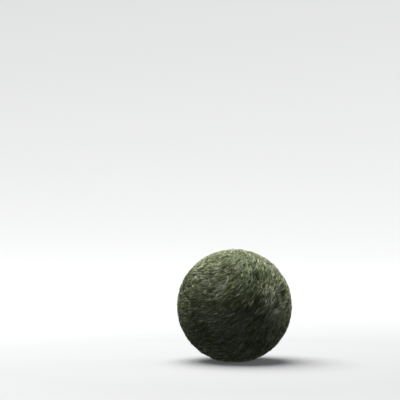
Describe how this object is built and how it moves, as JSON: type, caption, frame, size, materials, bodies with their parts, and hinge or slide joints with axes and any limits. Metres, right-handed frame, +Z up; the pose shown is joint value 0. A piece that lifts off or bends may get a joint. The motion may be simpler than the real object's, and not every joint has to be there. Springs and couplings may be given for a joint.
{
  "type": "marimo moss ball",
  "caption": "Round ball of fine felted moss fibres, combed flat into overlapping locks that turn in whorls, resting on a small flat spot.",
  "frame": {"origin": "middle of the small flat spot that the ball rests on, at the bottom centre of the ball", "axes": "+Z up, -Y the front that the picture shows, +X to the right seen from the front"},
  "size_m": [0.046, 0.0456, 0.0444],
  "materials": {
    "moss_fibre": "dull, dry, dark grey-green fibre with pale tips"
  },
  "bodies": {
    "root": {"moss_ball": "moss_fibre"}
  },
  "joints": []
}
